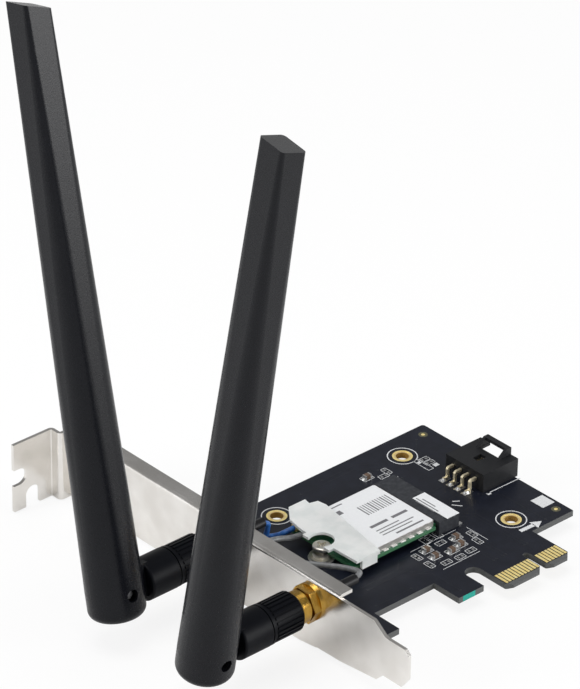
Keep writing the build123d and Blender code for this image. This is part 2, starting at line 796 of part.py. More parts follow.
with BuildPart() as m2_screw:
    with BuildSketch(Plane.XY.offset(module_top)):
        with Locations(screw_at):
            Circle(module_screw_head / 2)
    extrude(amount=module_screw_head_height)
    fillet(m2_screw.edges().group_by(Axis.Z)[-1], radius=0.4 * module_screw_head_height)
    with BuildSketch(Plane.XY.offset(module_top)):
        with Locations(screw_at):
            Circle(module_screw / 2)
    extrude(amount=-module_screw_length)
    with BuildSketch(Plane.XY.offset(module_top + module_screw_head_height)):
        with Locations(screw_at):
            Rectangle(0.6 * module_screw_head, 0.14 * module_screw_head)
            Rectangle(0.14 * module_screw_head, 0.6 * module_screw_head)
    extrude(amount=-0.7 * module_screw_head_height, mode=Mode.SUBTRACT)
write(m2_screw, "m2_screw")

# Translucent clip that keeps the antenna plugs on the module
clip_z = can_top + label_thickness
clip_x = module_end_x - clip_front
clip_rear_x = module_end_x + clip_rear
module_high_y = module_centre_y + module_width / 2
clip_low_y = module_centre_y - module_width / 2 - clip_leg_gap - clip_leg
clip_top_y = module_high_y + clip_top_reach
leg_high_y = module_high_y + clip_leg_gap
with BuildPart() as antenna_clip:
    with BuildSketch(Plane.XY.offset(clip_z)):
        with BuildLine():
            Polyline(
                (clip_x + 0.5, clip_low_y), (clip_rear_x - clip_slant, clip_low_y),
                (clip_rear_x, module_high_y - 0.6), (clip_rear_x - 0.4, module_high_y + 1.8),
                (clip_rear_x - 2.6, module_high_y + 2.4), (clip_rear_x - 2.2, clip_top_y),
                (clip_rear_x - 7.4, clip_top_y), (clip_x + 0.9, module_high_y + 0.2),
                (clip_x, module_high_y - 4.8), close=True,
            )
        make_face()
        with Locations((clip_x, module_centre_y)):
            Rectangle(2 * clip_lip, clip_lip_width)
        with Locations(screw_at):
            Circle(clip_screw_room, mode=Mode.SUBTRACT)
            Rectangle(2 * clip_screw_room, clip_mouth, align=(Align.MAX, Align.CENTER), mode=Mode.SUBTRACT)
    extrude(amount=clip_thickness)
    with BuildSketch(Plane.XY.offset(clip_leg_foot)):
        with Locations((clip_x + 2.3, clip_low_y)):
            Rectangle(clip_leg_length, clip_leg, align=low_left)
        with Locations((clip_rear_x - 7.2, leg_high_y)):
            Rectangle(clip_leg_length, clip_leg, align=low_left)
    extrude(amount=clip_z - clip_leg_foot)
write(antenna_clip, "antenna_clip")

# Miniature coaxial plugs on the module, each a cap with a crimp arm
arm_end_x = plug_x - plug_cap / 2 - plug_arm
lead_z = module_top + plug_cap_height / 2
with BuildPart() as coax_plugs:
    with BuildSketch(Plane.XY.offset(module_top)):
        with Locations((plug_x, grey_plug_y), (plug_x, blue_plug_y)):
            Circle(plug_cap / 2)
            Rectangle(plug_cap / 2 + plug_arm, plug_arm_width, align=(Align.MAX, Align.CENTER))
    extrude(amount=plug_cap_height)
write(coax_plugs, "coax_plugs")


# Coaxial leads from the jack sleeves to the plugs: straight runs joined by tangent arcs
def lead(name, points):
    corners = [Vector(*p) for p in points]
    radii = []
    for before, here, after in zip(corners, corners[1:], corners[2:]):
        run = min((here - before).length, (after - here).length)
        turn = (here - before).get_angle(after - here)
        radii.append(0.45 * run / tan(radians(turn) / 2))
    with BuildPart() as tube:
        with BuildLine() as path:
            FilletPolyline(*points, radius=radii)
        with BuildSketch(Plane(origin=path.line @ 0, z_dir=path.line % 0)):
            Circle(coax_diameter / 2)
        sweep(path=path.line)
    write(tube, name)
    length = sum(edge.length for edge in path.edges())
    section = 3.14159 * coax_diameter ** 2 / 4
    print(name, "length", round(length, 2), "volume share", round(tube.part.volume / (section * length), 4))
    print(name, "radii", [round(r, 2) for r in radii])


jack_high_y = jack_low_y + jack_pitch
lead("coax_grey", [
    (ferrule_end_x, jack_low_y, jack_height), (sleeve_end_x + 2.7, jack_low_y, jack_height),
    (sleeve_end_x + 2.4, jack_low_y + 3.2, 8.0), (-46.2, 25.0, 7.9), (-50.4, 31.0, 7.4),
    (-51.2, 38.6, 6.6), (-48.8, 45.0, 5.0), (-43.2, 45.6, 3.8),
    (arm_end_x - 2.8, grey_plug_y, lead_z), (arm_end_x, grey_plug_y, lead_z),
])
lead("coax_blue", [
    (ferrule_end_x, jack_high_y, jack_height), (sleeve_end_x + 1.9, jack_high_y, jack_height),
    (sleeve_end_x + 1.5, jack_high_y + 0.2, 4.6), (-44.6, 48.5, 2.0), (-48.4, 49.6, 0.9), (-48.2, 53.4, 0.8),
    (-43.4, 52.6, 0.8), (-40.0, 48.8, 1.6), (arm_end_x - 2.4, blue_plug_y, lead_z),
    (arm_end_x, blue_plug_y, lead_z),
])

# Four-way header at the rear edge: shrouded housing with a latch bridge
mouth_face_x = board_rear + header_overhang
header_x = mouth_face_x - header_length
with BuildPart() as header_housing:
    with BuildSketch(Plane.XY):
        with Locations((header_x, header_centre_y)):
            Rectangle(header_length, header_width, align=(Align.MIN, Align.CENTER))
    extrude(amount=header_height)
    with BuildSketch(Plane.XZ.offset(-header_centre_y)):
        with BuildLine():
            Polyline(
                (mouth_face_x, header_height), (mouth_face_x, header_height + bridge_rise),
                (mouth_face_x - bridge_length, header_height + bridge_rise),
                (mouth_face_x - bridge_length - bridge_foot, header_height), close=True,
            )
        make_face()
    extrude(amount=bridge_width / 2, both=True)
    with BuildSketch(Plane.XY.offset(header_height + bridge_rise - bridge_bar)):
        with Locations((mouth_face_x, header_centre_y)):
            Rectangle(
                2 * (bridge_length + bridge_foot), bridge_width - 2 * bridge_bar, align=(Align.MAX, Align.CENTER)
            )
    extrude(amount=-bridge_rise + bridge_bar, mode=Mode.SUBTRACT)
    with BuildSketch(Plane.XY.offset(header_height)):
        with Locations((mouth_face_x - bridge_length, header_centre_y)):
            Rectangle(2 * bridge_foot, bridge_width - 2 * bridge_bar, align=(Align.MAX, Align.CENTER))
    extrude(amount=bridge_rise, mode=Mode.SUBTRACT)
    with BuildSketch(Plane.XY.offset(header_height)):
        with Locations((mouth_face_x, header_centre_y)):
            Rectangle(latch_cut_length, latch_cut_width, align=(Align.MAX, Align.CENTER))
    extrude(amount=-header_wall, mode=Mode.SUBTRACT)
    with BuildSketch(Plane.XY.offset(header_floor)):
        with Locations((header_x + header_back, header_centre_y)):
            Rectangle(
                header_length - header_back, header_width - 2 * header_wall, align=(Align.MIN, Align.CENTER)
            )
    extrude(amount=header_height - header_floor - header_wall, mode=Mode.SUBTRACT)
    with BuildSketch(Plane.XY.offset(header_height)):
        with Locations((latch_slot_x, header_centre_y)):
            Rectangle(latch_slot_length, latch_slot_width)
    extrude(amount=-header_wall, mode=Mode.SUBTRACT)
    with BuildSketch(Plane.YZ.offset(header_x)):
        with Locations((header_centre_y, pin_height)):
            with GridLocations(pin_pitch, pin_pitch, pin_count, 1):
                Rectangle(pin_size + 2 * pin_clearance, pin_size + 2 * pin_clearance)
    extrude(amount=header_back, mode=Mode.SUBTRACT)
write(header_housing, "header_housing")

pin_bend_x = header_x - pin_drop
with BuildPart() as header_pins:
    for i in range(pin_count):
        pin_y = header_centre_y + pin_pitch * (i - (pin_count - 1) / 2)
        with BuildSketch(Plane.XZ.offset(-pin_y)):
            with BuildLine():
                FilletPolyline(
                    (header_x + header_back + pin_reach, pin_height), (pin_bend_x, pin_height),
                    (pin_bend_x, pin_size / 2), (pin_bend_x - pin_foot, pin_size / 2),
                    radius=0.7 * pin_size,
                )
            trace(line_width=pin_size)
        extrude(amount=pin_size / 2, both=True)
write(header_pins, "header_pins")

# Chip capacitors: brown ceramic bodies with tinned end caps
with BuildPart() as capacitor_bodies:
    with BuildSketch(Plane.XY):
        with Locations(*capacitor_places):
            Rectangle(capacitor_length - 2 * capacitor_cap, capacitor_width)
    extrude(amount=capacitor_height)
write(capacitor_bodies, "capacitor_bodies")

with BuildPart() as capacitor_terminals:
    with BuildSketch(Plane.XY):
        with Locations(*capacitor_places):
            with GridLocations(capacitor_length - capacitor_cap, 1, 2, 1):
                Rectangle(capacitor_cap, capacitor_width)
    extrude(amount=capacitor_height)
write(capacitor_terminals, "capacitor_terminals")
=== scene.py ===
import math

import bmesh
import bpy
from mathutils import Matrix, Vector


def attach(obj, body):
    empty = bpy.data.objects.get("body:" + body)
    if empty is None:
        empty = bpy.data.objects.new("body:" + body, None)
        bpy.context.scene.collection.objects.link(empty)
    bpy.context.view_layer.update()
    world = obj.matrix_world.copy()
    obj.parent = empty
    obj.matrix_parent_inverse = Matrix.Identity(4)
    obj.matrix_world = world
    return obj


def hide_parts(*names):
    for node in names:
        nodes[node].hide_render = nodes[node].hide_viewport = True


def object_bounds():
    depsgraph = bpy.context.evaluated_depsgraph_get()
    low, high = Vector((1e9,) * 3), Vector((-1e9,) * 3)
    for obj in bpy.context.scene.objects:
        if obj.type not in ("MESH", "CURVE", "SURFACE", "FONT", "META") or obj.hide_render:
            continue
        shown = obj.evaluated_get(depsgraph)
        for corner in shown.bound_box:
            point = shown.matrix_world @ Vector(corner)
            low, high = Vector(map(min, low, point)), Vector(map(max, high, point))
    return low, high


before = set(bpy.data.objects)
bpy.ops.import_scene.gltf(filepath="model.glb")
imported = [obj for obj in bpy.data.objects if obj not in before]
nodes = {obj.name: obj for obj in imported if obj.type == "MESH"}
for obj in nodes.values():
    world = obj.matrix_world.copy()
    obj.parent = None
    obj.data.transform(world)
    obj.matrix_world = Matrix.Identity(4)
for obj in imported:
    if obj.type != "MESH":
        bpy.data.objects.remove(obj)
cad_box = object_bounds()

# Carrier board: routed glass-fibre laminate under blue-black solder mask, bare and grey at its cut
# edges. Copper tracks lift the mask a little, the three hole walls are plated with gold, and one edge
# of the hook keeps a dab of green ink.


class Field:
    """A value on a surface: maths on it adds the nodes, and node() makes any other kind."""

    def __init__(self, tree, socket):
        self.tree = tree
        self.socket = socket

    def node(self, kind, output, settings, sockets):
        made = self.tree.nodes.new(kind)
        for name, value in settings.items():
            setattr(made, name, value)
        for name, value in sockets.items():
            if isinstance(value, Field):
                self.tree.links.new(value.socket, made.inputs[name])
            else:
                made.inputs[name].default_value = value
        return Field(self.tree, made.outputs[output])

    def maths(self, operation, first, second=0.0):
        return self.node("ShaderNodeMath", 0, {"operation": operation}, {0: first, 1: second})

    def __add__(self, other):
        return self.maths("ADD", self, other)

    __radd__ = __add__

    def __sub__(self, other):
        return self.maths("SUBTRACT", self, other)

    def __rsub__(self, other):
        return self.maths("SUBTRACT", other, self)

    def __mul__(self, other):
        return self.maths("MULTIPLY", self, other)

    __rmul__ = __mul__

    def __gt__(self, other):
        return self.maths("GREATER_THAN", self, other)

    def __lt__(self, other):
        return self.maths("LESS_THAN", self, other)

    def fade(self, low, high):
        return self.node("ShaderNodeMapRange", 0, {"interpolation_type": "SMOOTHSTEP"},
                         {"Value": self, "From Min": low, "From Max": high})

    def axes(self):
        split = self.node("ShaderNodeSeparateXYZ", 0, {}, {0: self})
        return [Field(self.tree, split.socket.node.outputs[i]) for i in range(3)]

    def stretch(self, x, y, z):
        return self.node("ShaderNodeVectorMath", 0, {"operation": "MULTIPLY"}, {0: self, 1: (x, y, z)})

    def distance(self, point):
        return self.node("ShaderNodeVectorMath", 1, {"operation": "DISTANCE"}, {0: self, 1: point})

    def noise(self, scale, detail=2.0, rough=0.5):
        return self.node("ShaderNodeTexNoise", 0, {}, {"Vector": self, "Scale": scale, "Detail": detail,
                                                       "Roughness": rough})

    def waves(self, scale, direction):
        return self.node("ShaderNodeTexWave", 1, {"bands_direction": direction},
                         {"Vector": self, "Scale": scale})

    def blend(self, under, over):
        return self.node("ShaderNodeMix", 2, {"data_type": "RGBA"}, {0: self, 6: under, 7: over})

    def bump(self, strength, depth):
        return self.node("ShaderNodeBump", 0, {}, {"Strength": strength, "Distance": depth, "Height": self})


def new_finish(name, **fixed):
    """A material, its shader and the place on the surface in metres."""
    material = bpy.data.materials.new(name)
    material.use_nodes = True
    tree = material.node_tree
    shader = tree.nodes["Principled BSDF"]
    for socket, value in fixed.items():
        shader.inputs[socket.replace("_", " ")].default_value = value
    coordinates = tree.nodes.new("ShaderNodeTexCoord")
    return material, shader, Field(tree, coordinates.outputs["Object"])


def feed(field, shader, socket):
    field.tree.links.new(field.socket, shader.inputs[socket])


def dress(material, *names):
    for name in names:
        nodes[name].data.materials.clear()
        nodes[name].data.materials.append(material)


holes = [(0.008, 0.0571), (-0.0326, 0.0571), (0.008, 0.0199)]
solder_mask, shader, place = new_finish("solder_mask_finish", Specular_IOR_Level=0.3)
x, y, z = place.axes()
cut_edge = (z < -0.00003) * (z > -0.00154)
inked = (y < 0.00397) * (x > -0.0231) * (x < -0.0192)
barrel = 0.0
for hole in holes:
    barrel = (place.stretch(1, 1, 0).distance((*hole, 0)) < 0.00205) + barrel
cloud = place.noise(300.0, 3.0).fade(0.35, 0.7)
mask = cloud.blend((0.0050, 0.0065, 0.0130, 1), (0.0078, 0.0098, 0.0182, 1))
fibre = place.stretch(1, 1, 6).noise(3000.0, 3.0).blend((0.050, 0.052, 0.053, 1), (0.125, 0.128, 0.127, 1))
edge_colour = inked.blend(fibre, (0.012, 0.30, 0.24, 1))
plated = cut_edge.blend((0.90, 0.70, 0.34, 1), (0.42, 0.25, 0.06, 1))
feed(barrel.blend(cut_edge.blend(mask, edge_colour), plated), shader, "Base Color")
feed(0.65 * barrel, shader, "Metallic")
feed(0.33 + 0.09 * place.noise(700.0) + 0.28 * cut_edge, shader, "Roughness")
feed(place.noise(2600.0, 3.0).bump(0.14, 0.00003), shader, "Normal")
dress(solder_mask, "carrier_board")

# Tracks and vias: etched copper under the solder mask on both faces, seen as faint raised lines.
# Each run is straight, with a chamfered turn, and ends at a tented via.


def bar(mesh, start, end, width, low, high):
    """A flat bar from start to end, all in millimetres."""
    a, b = Vector((*start, 0)), Vector((*end, 0))
    size = Matrix.Diagonal(((b - a).length, width, high - low, 1))
    turn = Matrix.Rotation(math.atan2(b.y - a.y, b.x - a.x), 4, "Z")
    middle = (a + b) / 2 + Vector((0, 0, (low + high) / 2))
    bmesh.ops.create_cube(mesh, size=1.0, matrix=Matrix.Translation(middle) @ turn @ size)


def disc(mesh, centre, low_radius, high_radius, low, high, segments=24):
    """A round pad or cone on the board, all in millimetres."""
    place_at = Matrix.Translation((*centre, (low + high) / 2))
    bmesh.ops.create_cone(mesh, cap_ends=True, segments=segments, radius1=low_radius, radius2=high_radius,
                          depth=high - low, matrix=place_at)


def hoop(mesh, centre, radius, width, low, high, segments=72):
    """A flat ring on the board, all in millimetres."""
    made = bmesh.ops.create_circle(mesh, segments=segments, radius=radius - width / 2,
                                   matrix=Matrix.Translation((*centre, low)))
    rim = list({edge for vert in made["verts"] for edge in vert.link_edges})
    grown = bmesh.ops.extrude_edge_only(mesh, edges=rim)["geom"]
    outer = [item for item in grown if isinstance(item, bmesh.types.BMVert)]
    wide = (radius + width / 2) / (radius - width / 2)
    bmesh.ops.scale(mesh, verts=outer, vec=(wide, wide, 1),
                    space=Matrix.Translation((-centre[0], -centre[1], 0)))
    flat = [item for item in grown if isinstance(item, bmesh.types.BMFace)]
    raised = bmesh.ops.extrude_face_region(mesh, geom=flat)["geom"]
    top = [item for item in raised if isinstance(item, bmesh.types.BMVert)]
    bmesh.ops.translate(mesh, verts=top, vec=(0, 0, high - low))


def fit_piece(mesh, name, slot, *materials):
    """Turns a bmesh in millimetres into a piece that rides on the card."""
    bmesh.ops.scale(mesh, verts=mesh.verts, vec=(0.001, 0.001, 0.001))
    bmesh.ops.recalc_face_normals(mesh, faces=mesh.faces)
    data = bpy.data.meshes.new(name)
    mesh.to_mesh(data)
    mesh.free()
    piece = bpy.data.objects.new(name, data)
    bpy.context.collection.objects.link(piece)
    for material in materials:
        data.materials.append(material)
    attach(piece, "card")
    return piece


runs = [
    [(7.6, 36.0), (3.4, 36.0), (1.2, 33.8), (-2.0, 33.8)],
    [(7.6, 38.5), (2.6, 38.5), (0.6, 36.5), (-2.0, 36.5)],
    [(7.6, 41.0), (1.6, 41.0), (0.4, 39.8), (-2.0, 39.8)], [(-6.5, 10.0), (-6.5, 15.4), (-10.4, 19.3)],
    [(-7.5, 10.0), (-7.5, 14.0), (-11.2, 17.7)], [(-4.5, 10.0), (-4.5, 25.0), (-6.0, 26.5)],
    [(-3.5, 10.0), (-3.5, 25.6), (-4.6, 26.7)], [(2.5, 10.0), (2.5, 26.0), (-1.4, 29.9)],
    [(3.5, 10.0), (3.5, 27.0), (-1.4, 31.9)], [(-22.0, 6.0), (-22.0, 16.0), (-26.0, 20.0), (-38.0, 20.0)],
    [(-20.6, 24.6), (-24.0, 24.6), (-27.0, 21.6), (-44.0, 21.6)], [(12.4, 47.0), (12.4, 57.0), (15.6, 60.2)],
    [(-14.0, 61.6), (-3.0, 61.6), (1.0, 57.6), (1.0, 50.0)], [(-22.0, 60.2), (-5.0, 60.2), (-1.0, 56.2)],
    [(14.0, 14.6), (14.0, 29.0), (10.0, 33.0)], [(-48.0, 12.0), (-48.0, 22.0)],
    [(-41.0, 14.0), (-30.0, 14.0)],
]
board_back = -1.57
track_width, track_height = 0.22, 0.012
via_foot, via_top, via_height = 0.36, 0.30, 0.02
tracks = bmesh.new()
for run in runs:
    for start, end in zip(run, run[1:]):
        bar(tracks, start, end, track_width, 0.0, track_height)
        bar(tracks, start, end, track_width, board_back - track_height, board_back)
    for end in (run[0], run[-1]):
        disc(tracks, end, via_foot, via_top, 0.0, via_height, 16)
        disc(tracks, end, via_top, via_foot, board_back - via_height, board_back, 16)
for i in range(7):
    for j in range(5):
        ground_via = (-31.0 + 3.9 * i + 0.7 * j, 25.6 + 5.1 * j)
        disc(tracks, ground_via, via_top, via_foot, board_back - via_height, board_back, 16)
track_finish, shader, place = new_finish("covered_copper_finish", Roughness=0.3, Specular_IOR_Level=0.3)
feed(place.noise(600.0).blend((0.0095, 0.0110, 0.0160, 1), (0.0140, 0.0160, 0.0225, 1)),
     shader, "Base Color")
feed(place.noise(2600.0).bump(0.12, 0.00003), shader, "Normal")
fit_piece(tracks, "covered_tracks", "laminate", track_finish)

# Edge contacts and rings of the holes: gold over nickel and copper, plated on the laminate. The
# contacts show fine wiping marks along the way the card is pushed in.
gold, shader, place = new_finish("gold_plate_finish", Metallic=0.45)
feed(place.noise(800.0, 3.0).fade(0.3, 0.75).blend((0.95, 0.73, 0.26, 1), (1.0, 0.87, 0.42, 1)),
     shader, "Base Color")
feed(0.28 + 0.16 * place.stretch(1, 0.12, 1).noise(4200.0), shader, "Roughness")
feed(place.stretch(1, 0.1, 1).noise(6500.0).bump(0.12, 0.00002), shader, "Normal")
dress(gold, "edge_contacts", "hole_platings")

# Fiducial marks: bare gilt dots in round windows of the solder mask, for the placing machine.
# The window shows the olive laminate.
windows = bmesh.new()
dots = bmesh.new()
for at in ((18.55, 61.0), (19.15, 16.2)):
    disc(windows, at, 1.15, 1.12, 0.0, 0.012, 32)
    disc(dots, at, 0.48, 0.44, 0.0, 0.03, 24)
laminate, shader, place = new_finish("bare_laminate_finish", Roughness=0.55)
feed(place.noise(1800.0, 3.0).blend((0.060, 0.058, 0.030, 1), (0.105, 0.100, 0.055, 1)),
     shader, "Base Color")
fit_piece(windows, "fiducial_windows", "laminate", laminate)
fit_piece(dots, "fiducial_dots", "gold", gold)

# Printed legend: white ink screened on the component face, a little uneven. Rings round the holes,
# frames round the parts, an arrow, a field for a stamp and a line beside the header.
ink = 0.02
legend = bmesh.new()
for hole in holes:
    hoop(legend, (hole[0] * 1000, hole[1] * 1000), 3.62, 0.26, 0.0, ink)


def box_line(mesh, low, high, width):
    """A printed frame between two corners, all in millimetres."""
    corners = [low, (high[0], low[1]), high, (low[0], high[1]), low]
    for start, end in zip(corners, corners[1:]):
        reach = Vector(end) - Vector(start)
        over = reach.normalized() * width / 2
        bar(mesh, Vector(start) - over, Vector(end) + over, width, 0.0, ink)


capacitors = [(-5.2, 55.4), (-16.4, 23.2), (-16.6, 20.0), (-12.0, 19.2), (-7.4, 22.7), (-8.6, 19.8)]
bare_places = [(-19.9, 22.6, 1), (-19.9, 18.4, 1), (-16.2, 16.6, 0), (-12.2, 16.2, 0), (-8.4, 16.6, 0),
               (-4.4, 18.4, 1), (-3.4, 21.4, 1), (-11.6, 23.4, 0), (-13.8, 26.4, 1), (-11.8, 26.6, 1),
               (-9.6, 26.4, 1), (-1.6, 53.4, 0), (0.4, 54.6, 1), (10.9, 52.6, 0), (10.9, 50.8, 0)]
bar(legend, (19.1, 18.5), (19.1, 22.7), 3.9, 0.0, ink)
bar(legend, (6.0, 14.9), (10.4, 14.7), 1.15, 0.0, ink)
arrow = bmesh.ops.create_cone(legend, cap_ends=True, segments=3, radius1=1.75, radius2=1.75, depth=ink)
bmesh.ops.rotate(legend, verts=arrow["verts"], matrix=Matrix.Rotation(math.radians(-90), 3, "Z"))
bmesh.ops.translate(legend, verts=arrow["verts"], vec=(11.1, 14.65, ink / 2))
bar(legend, (11.6, 31.7), (22.4, 31.5), 0.28, 0.0, ink)
bar(legend, (11.4, 31.4), (12.5, 31.4), 0.85, 0.0, ink)
for at in capacitors:
    box_line(legend, (at[0] - 1.55, at[1] - 1.0), (at[0] + 1.55, at[1] + 1.0), 0.14)
for at in bare_places:
    wide, deep = (1.35, 0.75) if at[2] == 0 else (0.75, 1.35)
    box_line(legend, (at[0] - wide, at[1] - deep), (at[0] + wide, at[1] + deep), 0.14)
box_line(legend, (8.3, 48.2), (9.9, 53.6), 0.18)
bar(legend, (8.5, 52.3), (9.7, 52.3), 0.9, 0.0, ink)
bar(legend, (11.4, 48.4), (11.4, 49.6), 1.4, 0.0, ink)
strokes = [((-2.4, 51.6), (0.8, 51.0)), ((1.8, 33.6), (3.4, 31.6)), ((3.0, 34.6), (4.4, 33.6))]
for start, end in strokes:
    bar(legend, start, end, 0.3, 0.0, ink)
borders = [((-19.6, 25.2), (-5.0, 25.2)), ((-18.9, 14.9), (-7.2, 14.9)), ((-2.3, 17.2), (-2.3, 24.4))]
for start, end in borders:
    bar(legend, start, end, 0.13, 0.0, ink)
white_ink, shader, place = new_finish("white_ink_finish")
feed(place.noise(2200.0, 3.0).blend((0.56, 0.57, 0.58, 1), (0.76, 0.77, 0.78, 1)), shader, "Base Color")
feed(0.50 + 0.16 * place.noise(1800.0), shader, "Roughness")
feed(place.noise(5200.0).bump(0.2, 0.00002), shader, "Normal")
fit_piece(legend, "printed_legend", "label_paper", white_ink)

# Cable header: black moulded shroud with a latch bridge, on the rear edge of the board. Its bent pins
# have a pale flash of gold and are soldered to tinned pads, with solder run up round each foot.
header_moulding, shader, place = new_finish("header_moulding_finish", Specular_IOR_Level=0.22)
feed(place.noise(1000.0).blend((0.0085, 0.0090, 0.0105, 1), (0.0145, 0.0152, 0.0170, 1)),
     shader, "Base Color")
feed(0.36 + 0.14 * place.noise(2200.0), shader, "Roughness")
feed(place.noise(5200.0).bump(0.2, 0.00003), shader, "Normal")
dress(header_moulding, "header_housing")

tin, shader, place = new_finish("tin_finish", Metallic=1.0)
feed(place.noise(1600.0).blend((0.60, 0.60, 0.60, 1), (0.80, 0.80, 0.79, 1)), shader, "Base Color")
feed(0.22 + 0.18 * place.noise(2600.0), shader, "Roughness")
feed(place.noise(4000.0).bump(0.15, 0.00003), shader, "Normal")

pin_gold, shader, place = new_finish("pin_gold_finish", Metallic=0.7)
feed(place.noise(1600.0).blend((0.84, 0.72, 0.45, 1), (0.98, 0.90, 0.68, 1)), shader, "Base Color")
feed(0.24 + 0.14 * place.noise(2600.0), shader, "Roughness")
dress(pin_gold, "header_pins")

header_middle = 39.0
header_pitch = 2.54
pad = 0.03
header_solder = bmesh.new()
for i in range(4):
    row = header_middle + header_pitch * (i - 1.5)
    bar(header_solder, (6.9, row), (9.9, row), 1.5, 0.0, pad)
    made = bmesh.ops.create_cone(header_solder, cap_ends=True, segments=20, radius1=0.92, radius2=0.42,
                                 depth=0.5)
    bmesh.ops.scale(header_solder, verts=made["verts"], vec=(1.15, 0.76, 1))
    bmesh.ops.translate(header_solder, verts=made["verts"], vec=(8.2, row, 0.27))
fit_piece(header_solder, "header_solder", "tin", tin)

# Chip capacitors: fired brown ceramic with tinned ends, soldered near the socket. Other places beside
# them stay empty, with two tinned pads each.
ceramic, shader, place = new_finish("ceramic_finish")
feed(place.noise(1500.0, 3.0).blend((0.085, 0.052, 0.035, 1), (0.15, 0.095, 0.062, 1)), shader, "Base Color")
feed(0.40 + 0.15 * place.noise(2600.0), shader, "Roughness")
feed(place.noise(5200.0).bump(0.2, 0.00003), shader, "Normal")
dress(ceramic, "capacitor_bodies")
dress(tin, "capacitor_terminals")

chip_solder = bmesh.new()
for at in capacitors:
    for side in (-1, 1):
        made = bmesh.ops.create_cone(chip_solder, cap_ends=True, segments=12, radius1=0.72, radius2=0.3,
                                     depth=0.36)
        bmesh.ops.scale(chip_solder, verts=made["verts"], vec=(0.75, 1, 1))
        bmesh.ops.translate(chip_solder, verts=made["verts"], vec=(at[0] + side * 0.98, at[1], 0.19))
for at in bare_places:
    for side in (-1, 1):
        middle = (at[0] + side * 0.62, at[1]) if at[2] == 0 else (at[0], at[1] + side * 0.62)
        bar(chip_solder, (middle[0] - 0.3, middle[1]), (middle[0] + 0.3, middle[1]), 0.62, 0.0, 0.05)
fit_piece(chip_solder, "chip_solder", "tin", tin)

# Module socket: black moulded housing soldered to the board by a row of tinned tails, with a small
# paper sticker on its top. The moulding has a matt, slightly grained skin.
socket_moulding, shader, place = new_finish("socket_moulding_finish", Specular_IOR_Level=0.35)
feed(place.noise(900.0, 3.0).fade(0.3, 0.75).blend((0.017, 0.019, 0.024, 1), (0.036, 0.039, 0.046, 1)),
     shader, "Base Color")
feed(0.42 + 0.14 * place.noise(2600.0), shader, "Roughness")
feed(place.noise(6000.0).bump(0.2, 0.00003), shader, "Normal")
dress(socket_moulding, "m2_socket")

socket_tails = bmesh.new()
for i in range(33):
    bar(socket_tails, (-3.25, 29.2 + 0.5 * i), (-2.35, 29.2 + 0.5 * i), 0.24, 0.0, 0.16)
for row in (26.6, 47.8):
    bar(socket_tails, (-3.25, row), (-1.9, row), 0.9, 0.0, 0.2)
fit_piece(socket_tails, "socket_tails", "tin", tin)

paper, shader, place = new_finish("label_paper_finish")
feed(place.noise(1800.0, 4.0).blend((0.72, 0.73, 0.75, 1), (0.80, 0.81, 0.82, 1)), shader, "Base Color")
feed(0.46 + 0.15 * place.noise(900.0), shader, "Roughness")
feed(place.noise(7000.0, 3.0).bump(0.12, 0.00002), shader, "Normal")
dress(paper, "socket_label", "module_label")

# Radio module: green laminate in the socket, with a tinned screen can soldered along its edges. The
# solder shows in short bright runs between the can and the board's edge.
module_mask, shader, place = new_finish("module_mask_finish")
z = place.axes()[2]
edge = (z < 0.00255) * (z > 0.00185)
green = place.noise(600.0, 3.0).blend((0.010, 0.085, 0.036, 1), (0.020, 0.140, 0.062, 1))
feed(edge.blend(green, (0.045, 0.15, 0.07, 1)), shader, "Base Color")
feed(0.30 + 0.12 * place.noise(900.0), shader, "Roughness")
feed(place.noise(3000.0).bump(0.14, 0.00003), shader, "Normal")
dress(module_mask, "module_board")

can_metal, shader, place = new_finish("screen_can_finish", Metallic=0.9)
feed(place.noise(500.0, 3.0).blend((0.50, 0.48, 0.46, 1), (0.66, 0.64, 0.62, 1)), shader, "Base Color")
feed(0.30 + 0.15 * place.noise(1500.0), shader, "Roughness")
feed(place.noise(4000.0).bump(0.12, 0.00002), shader, "Normal")
dress(can_metal, "shield_can")

module_face = 2.6
module_solder = bmesh.new()
for i in range(7):
    start = -29.6 + 2.75 * i
    for row in (26.62, 47.78):
        bar(module_solder, (start, row), (start + 1.5, row), 0.42, module_face, module_face + 0.14)
for i in range(5):
    start = 30.0 + 3.2 * i
    bar(module_solder, (-10.05, start), (-10.05, start + 1.3), 0.5, module_face, module_face + 0.18)
fit_piece(module_solder, "module_solder", "tin", tin)

# Label print: grey ink on the module's label and on the sticker, a plain layout of bars and fields.
# Printed flat, so the ink has almost no height.
label_top = 4.2
sticker_top = 3.6
film = 0.006
label_ink = bmesh.new()
label_rows = [
    (28.6, -21.0, -12.4, 0.55), (30.0, -24.0, -14.6, 0.35), (31.1, -24.0, -13.2, 0.35),
    (32.2, -24.0, -16.8, 0.35), (34.2, -24.0, -18.6, 0.9), (34.2, -17.2, -12.4, 0.9),
    (43.6, -27.6, -24.4, 1.6), (46.2, -27.6, -22.0, 0.4),
]
for row, start, end, width in label_rows:
    bar(label_ink, (start, row), (end, row), width, label_top, label_top + film)
for i, wide in enumerate((0.9, 0.35, 0.6, 0.35, 1.1, 0.35, 0.8, 0.5, 0.35, 0.9, 0.35, 0.6)):
    stripe = -20.4 + 0.78 * i
    bar(label_ink, (stripe, 38.4), (stripe, 42.6), 0.3 * wide + 0.12, label_top, label_top + film)
for row, start, end in ((-7.4, 30.2, 36.4), (-6.5, 29.6, 37.2), (-5.6, 31.6, 36.0)):
    bar(label_ink, (row, start), (row, end), 0.32, sticker_top, sticker_top + film)
grey_ink, shader, place = new_finish("grey_ink_finish", Roughness=0.5)
feed(place.noise(2600.0, 3.0).blend((0.10, 0.10, 0.11, 1), (0.20, 0.20, 0.21, 1)), shader, "Base Color")
fit_piece(label_ink, "label_ink", "label_paper", grey_ink)

